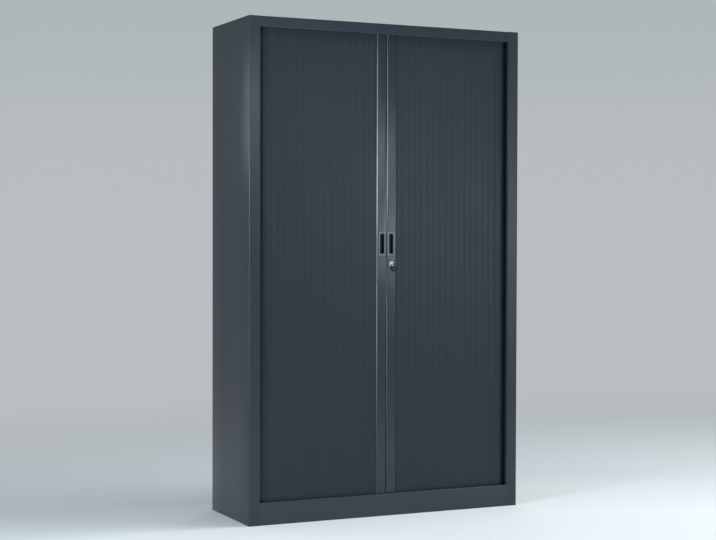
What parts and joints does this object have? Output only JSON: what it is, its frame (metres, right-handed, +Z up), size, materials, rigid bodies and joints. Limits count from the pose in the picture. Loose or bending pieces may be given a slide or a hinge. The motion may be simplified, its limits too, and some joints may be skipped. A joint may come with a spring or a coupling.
{
  "type": "tambour door tool cabinet",
  "caption": "Tall sheet-steel tool cabinet closed by two sideways-rolling tambour doors with recessed finger handles, a cylinder hook lock, shelves and levelling feet.",
  "frame": {"origin": "centre of the footprint on the floor", "axes": "+Z up, front with the doors faces -Y, +X towards the door that carries the lock"},
  "size_m": [1.2, 0.42, 1.98],
  "materials": {
    "panel": "satin anthracite powder coat",
    "slat": "satin anthracite extruded plastic",
    "stile": "satin anthracite extruded plastic",
    "handle": "semi-gloss grey-black",
    "track": "matt black low-friction plastic",
    "seal": "matt black",
    "zinc": "bright zinc plate",
    "nickel": "nickel plate",
    "key_grip": "matt black"
  },
  "bodies": {
    "cabinet": {"back_panel": "panel", "back_panel_rivets": "zinc", "base_pan": "panel", "bottom_corner_tracks": "track", "bottom_straight_tracks": "track", "bottom_track_screws": "zinc", "ceiling_panel": "panel", "floor_hole_plugs": "track", "floor_panel": "panel", "foot_nuts": "zinc", "foot_plates": "zinc", "front_plinth": "panel", "inner_back_panel": "panel", "left_corner_slats": "slat", "left_inner_panel": "panel", "left_shelf_racks": "panel", "left_side_panel": "panel", "right_corner_slats": "slat", "right_inner_panel": "panel", "right_shelf_racks": "panel", "right_side_panel": "panel", "shelf_1": "panel", "shelf_2": "panel", "shelf_3": "panel", "shelf_4": "panel", "shelf_clips": "zinc", "top_corner_tracks": "track", "top_panel": "panel", "top_straight_tracks": "track", "top_track_screws": "zinc"},
    "left_door": {"left_stile": "stile", "left_stile_runners": "track", "left_curtain_slats": "slat", "left_handle_shell": "handle", "left_handle_screws": "zinc", "closing_seal": "seal", "strike_plate": "zinc", "strike_screw": "zinc"},
    "right_door": {"right_stile": "stile", "right_stile_runners": "track", "right_curtain_slats": "slat", "right_handle_shell": "handle", "right_handle_screws": "zinc", "lock_housing": "nickel", "lock_nut": "zinc"},
    "lock_barrel": {"lock_barrel": "nickel", "lock_hook": "zinc", "hook_nut": "zinc"},
    "key": {"key_blade": "nickel", "key_pin": "nickel"},
    "key_bow": {"key_bow": "key_grip"},
    "rear_left_foot_pad": {"rear_left_foot_pad": "key_grip"},
    "front_left_foot_pad": {"front_left_foot_pad": "key_grip"},
    "rear_right_foot_pad": {"rear_right_foot_pad": "key_grip"},
    "front_right_foot_pad": {"front_right_foot_pad": "key_grip"},
    "rear_left_foot_stem": {"rear_left_foot_stem": "zinc"},
    "front_left_foot_stem": {"front_left_foot_stem": "zinc"},
    "rear_right_foot_stem": {"rear_right_foot_stem": "zinc"},
    "front_right_foot_stem": {"front_right_foot_stem": "zinc"}
  },
  "joints": [
    {"name": "left_door_slide", "type": "slide", "parent": "cabinet", "child": "left_door", "axis": [-1, 0, 0], "range_m": [0, 0.488], "deforming": ["left_curtain_slats"]},
    {"name": "right_door_slide", "type": "slide", "parent": "cabinet", "child": "right_door", "axis": [1, 0, 0], "range_m": [0, 0.488], "deforming": ["right_curtain_slats"]},
    {"name": "lock_turn", "type": "hinge", "parent": "right_door", "child": "lock_barrel", "pos_m": [0.0224, -0.185, 1.0157], "axis": [0, 1, 0], "range_deg": [0, 90]},
    {"name": "key_pull", "type": "slide", "parent": "lock_barrel", "child": "key", "axis": [0, -1, 0], "range_m": [0, 0.02]},
    {"name": "key_bow_fold", "type": "hinge", "parent": "key", "child": "key_bow", "pos_m": [0.0224, -0.1986, 1.0157], "axis": [-0.848, 0, -0.5299], "range_deg": [0, 90]},
    {"name": "rear_left_foot_travel", "type": "slide", "parent": "cabinet", "child": "rear_left_foot_pad", "axis": [0, 0, -1], "range_m": [0, 0.015]},
    {"name": "rear_left_foot_turn", "type": "hinge", "parent": "rear_left_foot_pad", "child": "rear_left_foot_stem", "pos_m": [-0.52, 0.14, 0.04], "axis": [0, 0, -1], "range_deg": [0, 3600]},
    {"name": "front_left_foot_travel", "type": "slide", "parent": "cabinet", "child": "front_left_foot_pad", "axis": [0, 0, -1], "range_m": [0, 0.015]},
    {"name": "front_left_foot_turn", "type": "hinge", "parent": "front_left_foot_pad", "child": "front_left_foot_stem", "pos_m": [-0.52, -0.14, 0.04], "axis": [0, 0, -1], "range_deg": [0, 3600]},
    {"name": "rear_right_foot_travel", "type": "slide", "parent": "cabinet", "child": "rear_right_foot_pad", "axis": [0, 0, -1], "range_m": [0, 0.015]},
    {"name": "rear_right_foot_turn", "type": "hinge", "parent": "rear_right_foot_pad", "child": "rear_right_foot_stem", "pos_m": [0.52, 0.14, 0.04], "axis": [0, 0, -1], "range_deg": [0, 3600]},
    {"name": "front_right_foot_travel", "type": "slide", "parent": "cabinet", "child": "front_right_foot_pad", "axis": [0, 0, -1], "range_m": [0, 0.015]},
    {"name": "front_right_foot_turn", "type": "hinge", "parent": "front_right_foot_pad", "child": "front_right_foot_stem", "pos_m": [0.52, -0.14, 0.04], "axis": [0, 0, -1], "range_deg": [0, 3600]}
  ],
  "couplings": [
    {"joint": "rear_left_foot_turn", "follows": "rear_left_foot_travel", "rad_per_m": 4188.8},
    {"joint": "front_left_foot_turn", "follows": "front_left_foot_travel", "rad_per_m": 4188.8},
    {"joint": "rear_right_foot_turn", "follows": "rear_right_foot_travel", "rad_per_m": 4188.8},
    {"joint": "front_right_foot_turn", "follows": "front_right_foot_travel", "rad_per_m": 4188.8}
  ]
}
